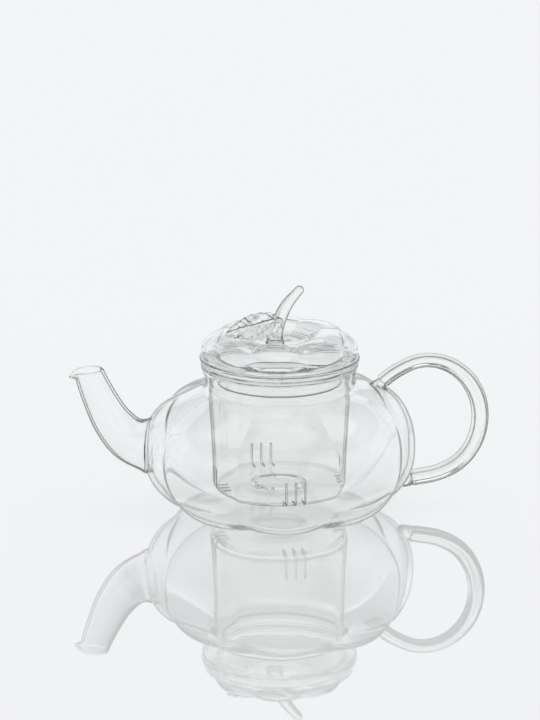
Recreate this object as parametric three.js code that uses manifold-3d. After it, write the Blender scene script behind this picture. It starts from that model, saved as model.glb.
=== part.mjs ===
// A lobed glass teapot with a sawn-slot glass infuser and a pumpkin lid.
// Millimetres, +Z up.  The origin is the centre of the base, the spout points to -X
// and the handle to +X.  Every piece is lamp-worked borosilicate glass.
import * as THREE from 'three';
import { mergeVertices } from 'three/addons/utils/BufferGeometryUtils.js';
import Module from 'manifold-3d';

const wasm = await Module();
wasm.setup();

// ---------------------------------------------------------------- driving dimensions
const GAP = 0.3; // weld or seating gap between two neighbouring pieces

const LOBES = 8; // lobes round the body and round the lid
const CREASE_SOFTNESS = 0.12; // 0 is a knife-sharp crease between two lobes

const BODY_RADIUS = 68.3; // over the crest of a lobe
const BODY_WIDEST = 31.5; // height of the widest section
const BOWL_FULLNESS = 0.9; // below 1 is squarer than an ellipse
const BODY_WALL = 1.9;
const BODY_LOBE_DEPTH = 3.6; // crest to crease
const BASE_RADIUS = 30; // flat disc that the pot stands on
const SHOULDER_RADIUS = 28; // half axes of the rounded shoulder
const SHOULDER_RISE = 28;
const SHOULDER_FULLNESS = 0.8; // below 1 is squarer than an ellipse
const SHOULDER_SLOPE = 24.8; // degrees, the straight slope from the shoulder to the neck
const COLLAR_HEIGHT = 10.8; // from the foot of the neck to the rim
const RIM_FLARE = 2.6; // how far the collar widens from neck to rim
const FLARE_POWER = 1.5; // above 1 the collar opens mostly near the rim
const NECK_FILLET = 3;

const INFUSER_RADIUS = 34.5; // outside of the straight wall
const INFUSER_WALL = 1.7;
const INFUSER_BOTTOM = 11.8; // height of the underside
const INFUSER_CORNER = 4.5;
const INFUSER_LIP = 1.5; // thickness of the lip that hangs on the rim
const INFUSER_CLEARANCE = 0.5; // infuser to neck, each side
const SLOT_WIDTH = 1.1;
const SLOT_HEIGHT = 13.6; // from the underside up the wall
const SLOT_REACH = 8; // from the wall inwards along the bottom
const SLOT_PITCH = 4.5;
const SLOTS_IN_GROUP = 3;
const SLOT_GROUPS = 4;
const SLOT_TURN = 9.5; // degrees
const PUNT_RADIUS = 14; // foot of the round step pushed up in the middle of the infuser bottom
const PUNT_FLANK = 2.4; // from that foot in to the level top of the step
const PUNT_DEPTH = 2.8;

const SKIRT_WALL = 1.8;
const SKIRT_CLEARANCE = 1.4; // skirt to infuser, each side
const SKIRT_DEPTH = 9.8; // how far the skirt reaches below the flange
const FLANGE_OVERHANG = 0.4; // flange beyond the rim
const FLANGE_THICKNESS = 2.8;
const DOME_INSET = 0.8; // widest part of the dome inside the flange
const DOME_HEIGHT = 11.8; // lobe tops above the flange
const DOME_WAIST = 2.5; // height of the widest part above the flange
const DOME_TUCK = 1.6; // foot of the dome inside its widest part
const DOME_WALL = 1.8;
const DOME_ROUND = 15.1; // from the widest part in to the lobe tops
const DOME_DISH = 6.2; // depth of the dish in the middle
const LID_LOBE_DEPTH = 2.6;
const LID_TURN = -6; // degrees, how the loose lid happens to be turned

const STEM_FOOT_RADIUS = 5.7;
const STEM_RADIUS = 3.3;
const STEM_TIP_RADIUS = 2.3;
const STEM_OFFSET = -2.3; // foot from the lid's axis, along X
const STEM_LEAN = 13.5; // tip from foot, along X
const STEM_HEIGHT = 28.4;

const LEAF_LENGTH = 30.5;
const LEAF_WIDTH = 16;
const LEAF_THICKNESS = 2.2;
const LEAF_BEVEL = 0.4;
const LEAF_TEETH = 7; // on each edge
const LEAF_TOOTH = 0.9;
const LEAF_LEVEL = 6.8; // root of the leaf on the stem, above the lobe tops
const LEAF_ROOT = [0.8, -3.8]; // from the middle of the stem, X and Y
const LEAF_ALONG = [-26.5, -8, -4.5]; // direction from root to tip
const LEAF_ACROSS = [4, -12.8, -7.6];

const SPOUT_WALL = 1.8;
const SPOUT_FOOT_HEIGHT = 28.6; // oval foot on the body, tall way
const SPOUT_FOOT_WIDTH = 23;
const SPOUT_FOOT_RAISE = 3.7; // middle of the foot above the widest section
const SPOUT_MOUTH_LENGTH = 14.2; // along X, without the lip
const SPOUT_MOUTH_WIDTH = 13.4;
const SPOUT_TAPER = 0.6; // below 1 the spout narrows mostly near its foot
const SPOUT_REACH = 27; // middle of the mouth beyond the body radius
const MOUTH_BELOW_RIM = 0.9; // back of the mouth, which is its highest point
const MOUTH_TILT = 3; // degrees, the mouth falls towards the lip
const LIP_POUR = 4.2; // pouring lip beyond the tube
const LIP_LENGTH = 2.8; // length of tube that the lip is drawn out of
const LIP_DROOP = 4.8; // tip of the lip below the tilt of the mouth

const ROD_RADIUS = 4; // handle rod, at its middle and foot
const ROD_TOP_RADIUS = 3.4; // where it is drawn thinner, over its first bends
const ROD_FLUTES = 6;
const ROD_FLUTE_DEPTH = 0.35;
const HANDLE_REACH = 32.7; // rod's middle line beyond the body radius
const HANDLE_HALF_WIDTH = 27; // half axis of the oval that the rod follows
const HANDLE_ABOVE_WELD = 16.6; // top of that oval above the upper weld
const HANDLE_ABOVE_FOOT = 1.4; // bottom of that oval above the lower weld
const ROD_RISE = [3.5, 8.9]; // first bend of the rod, from the upper weld
const ROD_RETURN = [13.1, 2.8]; // last bend of the rod, from the lower weld
const UPPER_WELD_INSET = 17.8; // inside the body radius, on the shoulder
const LOWER_WELD_LEVEL = 15.5;
const WELD_RADIUS = 6;
const UPPER_WELD_THICKNESS = 6;
const LOWER_WELD_THICKNESS = 4.4;

const BODY_SEGMENTS = 64; // round the axis, a multiple of 2 * LOBES
const DOME_SEGMENTS = 48; // a multiple of 2 * LOBES
const RING_SEGMENTS = 36;

// ---------------------------------------------------------------- derived sizes
const { degToRad, radToDeg, lerp, smoothstep } = THREE.MathUtils;

const NECK_RADIUS = INFUSER_RADIUS + INFUSER_CLEARANCE + BODY_WALL;
const RIM_RADIUS = NECK_RADIUS + RIM_FLARE;
const slopeDrop = Math.tan(degToRad(SHOULDER_SLOPE));
// The rounded shoulder ends, in degrees, where it has turned as far as the slope.
const shoulderTurn = (slopeDrop * SHOULDER_RADIUS / SHOULDER_RISE) ** (-1 / (2 - SHOULDER_FULLNESS));
const SHOULDER_END = radToDeg(Math.atan(shoulderTurn));
const slopeStart = new THREE.Vector2(
  BODY_RADIUS - SHOULDER_RADIUS + SHOULDER_RADIUS * Math.cos(degToRad(SHOULDER_END)) ** SHOULDER_FULLNESS,
  BODY_WIDEST + SHOULDER_RISE * Math.sin(degToRad(SHOULDER_END)) ** SHOULDER_FULLNESS,
);
const NECK_BASE = slopeStart.y + slopeDrop * (slopeStart.x - NECK_RADIUS);
const FLARE_BASE = NECK_BASE + NECK_FILLET;
const RIM_HEIGHT = NECK_BASE + COLLAR_HEIGHT;
const LIP_BASE = RIM_HEIGHT + GAP;
const LIP_TOP = LIP_BASE + INFUSER_LIP;
const FLANGE_BASE = LIP_TOP + GAP;
const FLANGE_TOP = FLANGE_BASE + FLANGE_THICKNESS;
const FLANGE_RADIUS = RIM_RADIUS + FLANGE_OVERHANG;
const SKIRT_RADIUS = INFUSER_RADIUS - INFUSER_WALL - SKIRT_CLEARANCE;
const SKIRT_BASE = FLANGE_BASE - SKIRT_DEPTH;
const DOME_BASE = FLANGE_TOP + GAP;
const DOME_RADIUS = FLANGE_RADIUS - DOME_INSET;
const DOME_TOP_RADIUS = DOME_RADIUS - DOME_ROUND;
const DOME_TOP = DOME_BASE + DOME_HEIGHT;
const DISH_LEVEL = DOME_TOP - DOME_DISH;
const DISH_RADIUS = STEM_FOOT_RADIUS + Math.abs(STEM_OFFSET) + 2 * GAP;
const STEM_BASE = DISH_LEVEL + GAP;
const SPOUT_FOOT_LEVEL = BODY_WIDEST + SPOUT_FOOT_RAISE;
const MOUTH_BACK_LEVEL = RIM_HEIGHT - MOUTH_BELOW_RIM;
const SPOUT_MOUTH_LEVEL = MOUTH_BACK_LEVEL - Math.tan(degToRad(MOUTH_TILT)) * SPOUT_MOUTH_LENGTH / 2;

// ---------------------------------------------------------------- solids
const toSolid = (geometry) => {
  const bare = geometry.clone();
  bare.deleteAttribute('normal');
  bare.deleteAttribute('uv');
  const merged = mergeVertices(bare, 1e-4);
  return new wasm.Manifold(new wasm.Mesh({
    numProp: 3,
    vertProperties: Float32Array.from(merged.attributes.position.array),
    triVerts: Uint32Array.from(merged.index.array),
  }));
};

const toGeometry = (solid) => {
  const mesh = solid.getMesh();
  const geometry = new THREE.BufferGeometry();
  geometry.setAttribute('position', new THREE.BufferAttribute(mesh.vertProperties, 3));
  geometry.setIndex(new THREE.BufferAttribute(mesh.triVerts, 1));
  geometry.computeVertexNormals();
  return geometry;
};

const cut = (geometry, ...tools) => {
  const solid = tools.reduce((rest, tool) => rest.subtract(toSolid(tool)), toSolid(geometry));
  return toGeometry(solid);
};

// ---------------------------------------------------------------- profiles and revolves
// A profile is a list of { point, depth }: point is (radius, height), depth is how far a
// crease sinks below the crest there, square to the profile.

const station = (radius, height, depth = 0) => ({ point: new THREE.Vector2(radius, height), depth });

// An elliptical stretch of a profile, angles in degrees, counter-clockwise when to > from.
// A power below 1 makes it squarer than an ellipse.
const ellipse = (centre, radii, from, to, steps, depthAt = () => 0, power = 1) =>
  Array.from({ length: steps + 1 }, (_, i) => {
    const share = i / steps;
    const angle = degToRad(lerp(from, to, share));
    const [c, s] = [Math.cos(angle), Math.sin(angle)].map((v) => Math.sign(v) * Math.abs(v) ** power);
    return station(centre[0] + radii[0] * c, centre[1] + radii[1] * s, depthAt(share));
  });

// A wall that rises from one height to another while it opens from one radius to another.
const flare = (fromRadius, toRadius, fromHeight, toHeight, steps) =>
  Array.from({ length: steps }, (_, i) => {
    const share = (i + 1) / steps;
    return station(lerp(fromRadius, toRadius, share ** FLARE_POWER), lerp(fromHeight, toHeight, share));
  });

// The same profile moved sideways: outwards for a positive distance.
const offset = (profile, distance) => profile.map(({ point, depth }, i) => {
  const before = profile[Math.max(i - 1, 0)].point;
  const after = profile[Math.min(i + 1, profile.length - 1)].point;
  const along = after.clone().sub(before).normalize();
  const moved = new THREE.Vector2(point.x + along.y * distance, point.y - along.x * distance);
  if (point.x === 0) moved.set(0, point.y - Math.sign(along.x) * distance);
  return { point: moved, depth };
});

// The inner face of a wall whose outer face is the profile: it runs back the other way, so
// its depths change sign.
const lining = (profile, wall) => offset(profile, -wall)
  .map(({ point, depth }) => ({ point, depth: -depth }))
  .reverse();

// 1 on the crest of a lobe, falling to nearly 0 in the crease between two.
const lobe = (angle) => {
  const wave = Math.cos((LOBES / 2) * angle);
  return Math.sqrt((wave ** 2 + CREASE_SOFTNESS ** 2) / (1 + CREASE_SOFTNESS ** 2));
};

// Revolves a profile about Z and sinks its creases.
const revolve = (profile, segments, turn = 0) => {
  const points = profile.map(({ point }) => point);
  const geometry = new THREE.LatheGeometry(points, segments);
  const position = geometry.attributes.position;
  const across = offset(profile, 1).map(({ point }, j) => point.clone().sub(points[j]));
  for (let k = 0; k < position.count; k += 1) {
    const j = k % profile.length;
    const angle = (Math.floor(k / profile.length) / segments) * 2 * Math.PI;
    const sunk = profile[j].depth * (1 - lobe(angle - turn));
    const radius = points[j].x - across[j].x * sunk;
    const height = points[j].y - across[j].y * sunk;
    position.setXYZ(k, radius * Math.sin(angle), height, radius * Math.cos(angle));
  }
  return geometry.rotateX(Math.PI / 2);
};

// ---------------------------------------------------------------- tubes along a path
// A capped cylinder carried along a path in the XZ plane.  sectionAt(t, angle) gives the
// skin's distance from the path, in the plane and across it.
const bentRod = (path, steps, sides, sectionAt) => {
  const geometry = new THREE.CylinderGeometry(1, 1, 1, sides, steps);
  const position = geometry.attributes.position;
  const side = new THREE.Vector3(0, 1, 0);
  for (let k = 0; k < position.count; k += 1) {
    const t = THREE.MathUtils.clamp(position.getY(k) + 0.5, 0, 1);
    const reach = Math.hypot(position.getX(k), position.getZ(k));
    const angle = Math.atan2(position.getX(k), position.getZ(k));
    const inPlane = side.clone().cross(path.getTangentAt(t));
    const [u, v] = sectionAt(t, angle);
    const place = path.getPointAt(t).addScaledVector(inPlane, u * reach).addScaledVector(side, v * reach);
    position.setXYZ(k, place.x, place.y, place.z);
  }
  return geometry;
};

const roundSection = (radius, angle) => [radius * Math.cos(angle), radius * Math.sin(angle)];

const pathThrough = (points) =>
  new THREE.CatmullRomCurve3(points.map(([x, z]) => new THREE.Vector3(x, 0, z)), false, 'centripetal');

// ---------------------------------------------------------------- pot body
// The creases start at the edge of the base, are deepest low on the bowl and fade out on
// the slope to the neck.
const bowlDepth = (share) => {
  const rise = Math.sin(share * Math.PI / 2) ** 0.7;
  return BODY_LOBE_DEPTH * (rise + 0.25 * Math.sin(share * Math.PI));
};
const shoulderDepth = (share) => BODY_LOBE_DEPTH * (1 - 0.35 * share ** 2);
const neckCurve = new THREE.QuadraticBezierCurve(
  new THREE.Vector2(NECK_RADIUS + NECK_FILLET, NECK_BASE - slopeDrop * NECK_FILLET),
  new THREE.Vector2(NECK_RADIUS, NECK_BASE),
  new THREE.Vector2(NECK_RADIUS, FLARE_BASE),
);
const bowl = ellipse(
  [BASE_RADIUS, BODY_WIDEST], [BODY_RADIUS - BASE_RADIUS, BODY_WIDEST], -90, 0, 9, bowlDepth, BOWL_FULLNESS,
);
const shoulder = ellipse(
  [BODY_RADIUS - SHOULDER_RADIUS, BODY_WIDEST], [SHOULDER_RADIUS, SHOULDER_RISE],
  0, SHOULDER_END, 5, shoulderDepth, SHOULDER_FULLNESS,
);
const bodyOutside = [
  ...bowl,
  ...shoulder.slice(1),
  ...neckCurve.getPoints(2).map(({ x, y }, i) => station(x, y, i === 0 ? BODY_LOBE_DEPTH * 0.15 : 0)),
  ...flare(NECK_RADIUS, RIM_RADIUS, FLARE_BASE, RIM_HEIGHT, 3),
];
const bodyInside = lining(bodyOutside, BODY_WALL);
bodyInside[0].point.y = RIM_HEIGHT;
const bodyShell = revolve(
  [station(0, 0), ...bodyOutside, ...bodyInside, station(0, BODY_WALL)],
  BODY_SEGMENTS,
);
// The filled outside of the body, grown by the weld gap: what pieces on the body are cut with.
const bodyGrown = revolve(
  [station(0, -GAP), ...offset(bodyOutside, GAP), station(0, RIM_HEIGHT + GAP)],
  BODY_SEGMENTS,
);

// ---------------------------------------------------------------- spout
// Shares of the way from the foot to the mouth, out and up, from inside the body to past
// the mouth.
const SPOUT_COURSE = [
  [-0.444, -0.026], [-0.085, 0], [0.244, 0.078], [0.548, 0.305],
  [0.719, 0.519], [0.893, 0.793], [1.03, 1.06],
];
const SPOUT_STEPS = 12;
const SPOUT_SIDES = 18;
const spoutRise = SPOUT_MOUTH_LEVEL - SPOUT_FOOT_LEVEL;
const spoutPath = pathThrough(SPOUT_COURSE.map(([out, up]) =>
  [-BODY_RADIUS - SPOUT_REACH * out, SPOUT_FOOT_LEVEL + spoutRise * up]));
const spoutLength = spoutPath.getLength();
const buriedShare = spoutPath.points[0].distanceTo(spoutPath.points[1]) / spoutLength;
const spoutMouth = new THREE.Vector3(-BODY_RADIUS - SPOUT_REACH, 0, SPOUT_MOUTH_LEVEL);
const mouthShare = 1 - spoutPath.points.at(-1).distanceTo(spoutMouth) / spoutLength;
const lipShare = mouthShare - LIP_LENGTH / spoutLength;
const spoutSection = (inset) => (t, angle) => {
  const narrowing = Math.max(0, (t - buriedShare) / (1 - buriedShare)) ** SPOUT_TAPER;
  const tall = lerp(SPOUT_FOOT_HEIGHT, SPOUT_MOUTH_LENGTH, narrowing) / 2 - inset;
  const wide = lerp(SPOUT_FOOT_WIDTH, SPOUT_MOUTH_WIDTH, narrowing) / 2 - inset;
  const pour = LIP_POUR * smoothstep(t, lipShare, mouthShare) * Math.max(0, -Math.cos(angle)) ** 4;
  return [tall * Math.cos(angle) - pour, wide * Math.sin(angle)];
};
const spoutSkin = bentRod(spoutPath, SPOUT_STEPS, SPOUT_SIDES, spoutSection(0));
const spoutBore = bentRod(spoutPath, SPOUT_STEPS, SPOUT_SIDES, spoutSection(SPOUT_WALL));
// The mouth is cut by a line that falls gently from the back and droops at the lip.
const mouthBack = spoutMouth.x + SPOUT_MOUTH_LENGTH / 2;
const mouthSpan = SPOUT_MOUTH_LENGTH + LIP_POUR;
const rimPoint = (share) => {
  const drop = Math.tan(degToRad(MOUTH_TILT)) * mouthSpan * share + LIP_DROOP * Math.max(0, share) ** 6;
  return new THREE.Vector2(mouthBack - mouthSpan * share, MOUTH_BACK_LEVEL - drop);
};
const MOUTH_STEPS = 10;
const rimLine = Array.from({ length: MOUTH_STEPS + 4 }, (_, i) => rimPoint(i / MOUTH_STEPS - 0.2));
const aboveMouth = MOUTH_BACK_LEVEL + 2 * SPOUT_MOUTH_LENGTH;
const mouthCut = new THREE.ExtrudeGeometry(new THREE.Shape([
  new THREE.Vector2(rimLine[0].x, aboveMouth),
  ...rimLine,
  new THREE.Vector2(rimLine.at(-1).x, aboveMouth),
]), { depth: 2 * SPOUT_MOUTH_WIDTH, bevelEnabled: false })
  .translate(0, 0, -SPOUT_MOUTH_WIDTH)
  .rotateX(Math.PI / 2);
const spoutShell = cut(spoutSkin, spoutBore, mouthCut, bodyGrown);
const bodyWithHole = cut(bodyShell, spoutBore);

// ---------------------------------------------------------------- handle
// Where the crest line of the body passes a given radius ('x') or height ('y'), and the
// tilt from upright of a disc that lies on it there, in radians.
const seatOn = (profile, axis, value) => {
  const points = profile.map(({ point }) => point);
  const beyond = points.map((point) => point[axis] >= value);
  const end = beyond.findIndex((is, i) => i > 0 && is !== beyond[i - 1]);
  const [before, after] = [points[end - 1], points[end]];
  const { x, y } = before.clone().lerp(after, (value - before[axis]) / (after[axis] - before[axis]));
  return { place: [x, y], tilt: Math.atan2(after.y - before.y, before.x - after.x) };
};
const aboveBowl = bodyOutside.slice(bowl.length);
const upperSeat = seatOn(aboveBowl, 'x', BODY_RADIUS - UPPER_WELD_INSET);
const lowerSeat = seatOn(bowl, 'y', LOWER_WELD_LEVEL);
const ovalTop = upperSeat.place[1] + HANDLE_ABOVE_WELD;
const ovalBottom = lowerSeat.place[1] + HANDLE_ABOVE_FOOT;
const handleOval = new THREE.EllipseCurve(
  BODY_RADIUS + HANDLE_REACH - HANDLE_HALF_WIDTH, (ovalTop + ovalBottom) / 2,
  HANDLE_HALF_WIDTH, (ovalTop - ovalBottom) / 2,
  degToRad(120), degToRad(-60), true,
);
const fromSeat = ({ place }, [out, up]) => [place[0] + out, place[1] + up];
const handlePath = pathThrough([
  upperSeat.place,
  fromSeat(upperSeat, ROD_RISE),
  ...handleOval.getPoints(6).map(({ x, y }) => [x, y]),
  fromSeat(lowerSeat, ROD_RETURN),
  lowerSeat.place,
]);
const fluted = (t, angle) => {
  const middle = lerp(ROD_TOP_RADIUS, ROD_RADIUS, smoothstep(t, 0.2, 0.5));
  const radius = middle + ROD_FLUTE_DEPTH * Math.cos(ROD_FLUTES * angle);
  return roundSection(radius, angle);
};
const weld = ({ place, tilt }, thickness, grow = 0) => new THREE.SphereGeometry(1, 16, 8)
  .scale(WELD_RADIUS + grow, WELD_RADIUS + grow, thickness + grow)
  .rotateY(tilt)
  .translate(place[0], 0, place[1]);
const rod = bentRod(handlePath, 32, 2 * ROD_FLUTES, fluted);
const handleRod = cut(
  rod,
  weld(upperSeat, UPPER_WELD_THICKNESS, GAP),
  weld(lowerSeat, LOWER_WELD_THICKNESS, GAP),
  bodyGrown,
);
const upperWeld = cut(weld(upperSeat, UPPER_WELD_THICKNESS), bodyGrown);
const lowerWeld = cut(weld(lowerSeat, LOWER_WELD_THICKNESS), bodyGrown);

// ---------------------------------------------------------------- infuser
const PUNT_STEPS = 4;
const puntFlank = Array.from({ length: PUNT_STEPS + 1 }, (_, i) => {
  const share = i / PUNT_STEPS;
  const height = PUNT_DEPTH * (1 + Math.cos(share * Math.PI)) / 2;
  return station(PUNT_RADIUS - PUNT_FLANK * (1 - share), INFUSER_BOTTOM + height);
});
const infuserOutside = [
  station(0, INFUSER_BOTTOM + PUNT_DEPTH),
  ...puntFlank,
  ...ellipse(
    [INFUSER_RADIUS - INFUSER_CORNER, INFUSER_BOTTOM + INFUSER_CORNER],
    [INFUSER_CORNER, INFUSER_CORNER], -90, 0, 3,
  ),
  station(INFUSER_RADIUS, FLARE_BASE),
  ...flare(INFUSER_RADIUS, INFUSER_RADIUS + RIM_FLARE, FLARE_BASE, LIP_BASE, 3),
];
const infuserInside = lining(infuserOutside, INFUSER_WALL);
infuserInside[0].point.y = LIP_TOP;
const lipRound = INFUSER_LIP / 3;
const infuserCup = revolve([
  ...infuserOutside,
  station(RIM_RADIUS - lipRound, LIP_BASE),
  station(RIM_RADIUS, LIP_BASE + INFUSER_LIP / 2),
  station(RIM_RADIUS - lipRound, LIP_TOP),
  ...infuserInside,
], RING_SEGMENTS);
// The saws are round blades.  Each is centred level with the underside, so far out that
// its rim passes through the top of the slot on the wall and the inner end on the bottom.
const bladeInset = (SLOT_HEIGHT ** 2 - SLOT_REACH ** 2) / (2 * SLOT_REACH);
const bladeCentre = INFUSER_RADIUS + bladeInset;
const BLADE_SIDES = 32;
const saws = [];
for (let group = 0; group < SLOT_GROUPS; group += 1) {
  for (let i = 0; i < SLOTS_IN_GROUP; i += 1) {
    const side = (i - (SLOTS_IN_GROUP - 1) / 2) * SLOT_PITCH;
    const blade = SLOT_REACH + bladeInset;
    saws.push(new THREE.CylinderGeometry(blade, blade, SLOT_WIDTH, BLADE_SIDES)
      .translate(bladeCentre, side, INFUSER_BOTTOM)
      .rotateZ(degToRad(SLOT_TURN + group * 360 / SLOT_GROUPS)));
  }
}
const infuserSlotted = cut(infuserCup, ...saws);

// ---------------------------------------------------------------- lid
const skirtInner = SKIRT_RADIUS - SKIRT_WALL;
const flangeRound = FLANGE_THICKNESS / 2;
const lidSkirt = revolve([
  station(skirtInner, SKIRT_BASE),
  station(SKIRT_RADIUS, SKIRT_BASE),
  station(SKIRT_RADIUS, FLANGE_BASE),
  ...ellipse(
    [FLANGE_RADIUS - flangeRound, FLANGE_BASE + flangeRound],
    [flangeRound, flangeRound], -90, 90, 4,
  ),
  station(skirtInner, FLANGE_TOP),
  station(skirtInner, SKIRT_BASE),
], RING_SEGMENTS);

// The dome's creases start above its plain foot, are full over the lobe tops and fade out
// in the dish.
const domeWaist = DOME_BASE + DOME_WAIST;
const domeRim = [
  station(DOME_RADIUS - DOME_TUCK, DOME_BASE),
  station(DOME_RADIUS - DOME_TUCK / 4, DOME_BASE + DOME_WAIST / 2, LID_LOBE_DEPTH / 2),
];
const domeRound = ellipse(
  [DOME_TOP_RADIUS, domeWaist], [DOME_ROUND, DOME_TOP - domeWaist], 0, 90, 6,
  (share) => LID_LOBE_DEPTH * lerp(0.8, 1, share),
);
const DISH_STEPS = 4;
const domeDish = Array.from({ length: DISH_STEPS }, (_, i) => {
  const share = (i + 1) / DISH_STEPS;
  const level = DISH_LEVEL + DOME_DISH * (1 + Math.cos(share * Math.PI)) / 2;
  return station(lerp(DOME_TOP_RADIUS, DISH_RADIUS, share), level, LID_LOBE_DEPTH * (1 - share) ** 0.8);
});
const domeOutside = [...domeRim, ...domeRound, ...domeDish, station(0, DISH_LEVEL)];
const domeInside = lining(domeOutside, DOME_WALL);
domeInside[domeInside.length - 1].point.y = DOME_BASE;
const lidDome = revolve([...domeInside, ...domeOutside], DOME_SEGMENTS, degToRad(LID_TURN));

// ---------------------------------------------------------------- stem and leaf
const STEM_STEPS = 16;
const STEM_SIDES = 12;
const ROUND_TIP = 0.93; // share of the length where the round tip starts
const stemPath = pathThrough([
  [STEM_OFFSET, STEM_BASE - STEM_HEIGHT * 0.07],
  [STEM_OFFSET, STEM_BASE],
  [STEM_OFFSET + STEM_LEAN * 0.1, STEM_BASE + STEM_HEIGHT * 0.3],
  [STEM_OFFSET + STEM_LEAN * 0.4, STEM_BASE + STEM_HEIGHT * 0.65],
  [STEM_OFFSET + STEM_LEAN, STEM_BASE + STEM_HEIGHT],
]);
const stemSection = (grow) => (t, angle) => {
  const foot = (STEM_FOOT_RADIUS - STEM_RADIUS) * Math.max(0, 1 - t / 0.25) ** 2;
  const taper = lerp(STEM_RADIUS, STEM_TIP_RADIUS, smoothstep(t, 0.45, 1));
  const tip = Math.max(0, t - ROUND_TIP) / (1.005 - ROUND_TIP);
  return roundSection((foot + taper) * Math.sqrt(1 - tip ** 2) + grow, angle);
};
const belowStem = new THREE.BoxGeometry(STEM_HEIGHT, STEM_HEIGHT, STEM_HEIGHT)
  .translate(STEM_OFFSET, 0, STEM_BASE - STEM_HEIGHT / 2);
const stem = cut(bentRod(stemPath, STEM_STEPS, STEM_SIDES, stemSection(0)), belowStem);
const stemGrown = bentRod(stemPath, STEM_STEPS, STEM_SIDES, stemSection(GAP));

// Half the width of the leaf at a share of its length, with saw teeth that point to the tip.
const leafHalf = (share) => {
  const bulge = Math.sin(Math.PI * share ** 0.8) ** 0.75;
  const tooth = 1 - ((share * LEAF_TEETH) % 1);
  return LEAF_WIDTH / 2 * bulge + LEAF_TOOTH * tooth * (1 - share) ** 0.3;
};
const LEAF_STEPS = LEAF_TEETH * 3;
const leafEdge = Array.from({ length: LEAF_STEPS - 1 }, (_, i) => {
  const share = (i + 1) / LEAF_STEPS;
  return new THREE.Vector2(LEAF_LENGTH * share, leafHalf(share));
});
const leafOutline = new THREE.Shape([
  new THREE.Vector2(0, 0),
  ...leafEdge.map(({ x, y }) => new THREE.Vector2(x, -y)),
  new THREE.Vector2(LEAF_LENGTH, 0),
  ...leafEdge.toReversed(),
]);
const leafBlank = new THREE.ExtrudeGeometry(leafOutline, {
  depth: LEAF_THICKNESS - 2 * LEAF_BEVEL,
  bevelThickness: LEAF_BEVEL,
  bevelSize: LEAF_BEVEL,
  bevelSegments: 1,
}).translate(0, 0, LEAF_BEVEL - LEAF_THICKNESS / 2);
const leafAlong = new THREE.Vector3(...LEAF_ALONG).normalize();
const leafAcross = new THREE.Vector3(...LEAF_ACROSS).normalize();
const leafRoot = stemPath.getSpacedPoints(100).find(({ z }) => z >= DOME_TOP + LEAF_LEVEL);
const leafPlace = new THREE.Matrix4()
  .makeBasis(leafAlong, leafAcross, leafAlong.clone().cross(leafAcross).normalize())
  .setPosition(leafRoot.x + LEAF_ROOT[0], LEAF_ROOT[1], leafRoot.z);
const domeGrown = revolve(
  [station(0, DOME_BASE), ...offset(domeOutside, GAP)],
  DOME_SEGMENTS,
  degToRad(LID_TURN),
);
const leaf = cut(leafBlank.applyMatrix4(leafPlace), stemGrown, domeGrown);

// ---------------------------------------------------------------- assembly
const CLEAR = 0xe3eae8; // pale grey-green of a clear wall
const DENSE = 0xd3dddb; // thicker glass looks darker
const teapot = new THREE.Group();
const add = (name, geometry, color) => {
  const glass = new THREE.MeshStandardMaterial({ color, roughness: 0.03, metalness: 0 });
  const mesh = new THREE.Mesh(geometry, glass);
  mesh.name = name;
  teapot.add(mesh);
};
add('pot_body', bodyWithHole, CLEAR);
add('spout', spoutShell, CLEAR);
add('handle', handleRod, DENSE);
add('handle_upper_weld', upperWeld, DENSE);
add('handle_lower_weld', lowerWeld, DENSE);
add('infuser', infuserSlotted, CLEAR);
add('lid_skirt', lidSkirt, CLEAR);
add('lid_dome', lidDome, CLEAR);
add('lid_stem', stem, DENSE);
add('lid_leaf', leaf, DENSE);

export default teapot;
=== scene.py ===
"""A lobed glass teapot with a slotted glass infuser and a pumpkin lid, in metres, +Z up."""
import math

import bpy
import numpy as np
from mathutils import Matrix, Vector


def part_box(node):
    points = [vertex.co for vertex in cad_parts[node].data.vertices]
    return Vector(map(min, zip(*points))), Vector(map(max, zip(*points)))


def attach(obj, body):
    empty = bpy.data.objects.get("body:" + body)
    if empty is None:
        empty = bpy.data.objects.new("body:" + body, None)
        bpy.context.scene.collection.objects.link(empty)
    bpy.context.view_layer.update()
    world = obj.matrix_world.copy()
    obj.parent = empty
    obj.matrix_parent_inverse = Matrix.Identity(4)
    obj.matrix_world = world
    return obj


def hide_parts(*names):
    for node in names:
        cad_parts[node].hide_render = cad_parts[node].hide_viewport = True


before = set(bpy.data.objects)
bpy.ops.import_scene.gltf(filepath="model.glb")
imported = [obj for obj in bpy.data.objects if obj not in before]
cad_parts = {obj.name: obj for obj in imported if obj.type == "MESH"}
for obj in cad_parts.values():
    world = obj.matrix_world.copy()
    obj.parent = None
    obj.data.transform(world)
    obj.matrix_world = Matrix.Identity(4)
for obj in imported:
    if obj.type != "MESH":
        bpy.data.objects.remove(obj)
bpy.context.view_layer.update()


# ------------------------------------------------------------------ pot body
# A shell of clear borosilicate glass, blown into a mould of eight lobes, with a flat base and
# a collar that is flared and fire-polished at the lathe.  It rests on the disc of its base.
body_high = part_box("pot_body")[1]
BODY_RADIUS = body_high.y
BODY_WIDEST = 0.0315
BODY_WALL = 0.0013
BASE_RADIUS = 0.030
BASE_HOLLOW = 0.0006
BASE_HOLLOW_SHARE = 0.86
BOWL_FULLNESS = 0.9
SHOULDER_RADIUS = 0.028
SHOULDER_RISE = 0.028
SHOULDER_SLOPE = math.radians(24.8)
SHOULDER_FULLNESS = 0.8
SHOULDER_SWELL = 0.0045
NECK_RADIUS = 0.0369
NECK_FILLET = 0.0016
RIM_HEIGHT = body_high.z
RIM_FLARE = 0.0026
FLARE_POWER = 1.5
LOBES = 8
CREASE_SOFTNESS = 0.07
BODY_SHARPNESS = 0.85
BODY_LOBE_DEPTH = 0.0046
BOWL_DEPTH_POWER = 1.2
BOWL_DEPTH_SWELL = 0.2
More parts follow.
